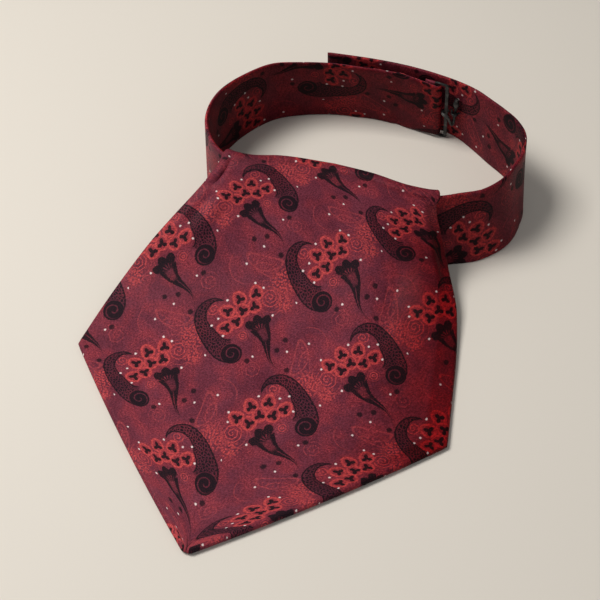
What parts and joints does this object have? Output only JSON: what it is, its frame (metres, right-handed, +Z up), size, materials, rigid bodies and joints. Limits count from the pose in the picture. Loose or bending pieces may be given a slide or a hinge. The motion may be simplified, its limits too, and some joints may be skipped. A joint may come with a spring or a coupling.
{
  "type": "silk cravat",
  "caption": "Silk cravat with a wide pointed blade folded over a plain standing neckband, which closes at the back with a slide, hook and eye.",
  "frame": {"origin": "centre of the bounding box's bottom face, on the surface that the cravat lies on", "axes": "+Y from the blade's tip to the back of the neckband, +X to the right as seen from the tip with the face side up, +Z up"},
  "size_m": [0.1524, 0.2452, 0.0384],
  "materials": {
    "silk": "wine jacquard silk satin with black, red and cream figuring, soft sheen",
    "black_metal": "black lacquered wire and sheet, semi-gloss"
  },
  "bodies": {
    "root": {"blade": "silk", "neckband_left": "silk", "neckband_right": "silk", "clasp_slide": "black_metal", "clasp_hook": "black_metal", "clasp_eye": "black_metal"}
  },
  "joints": []
}
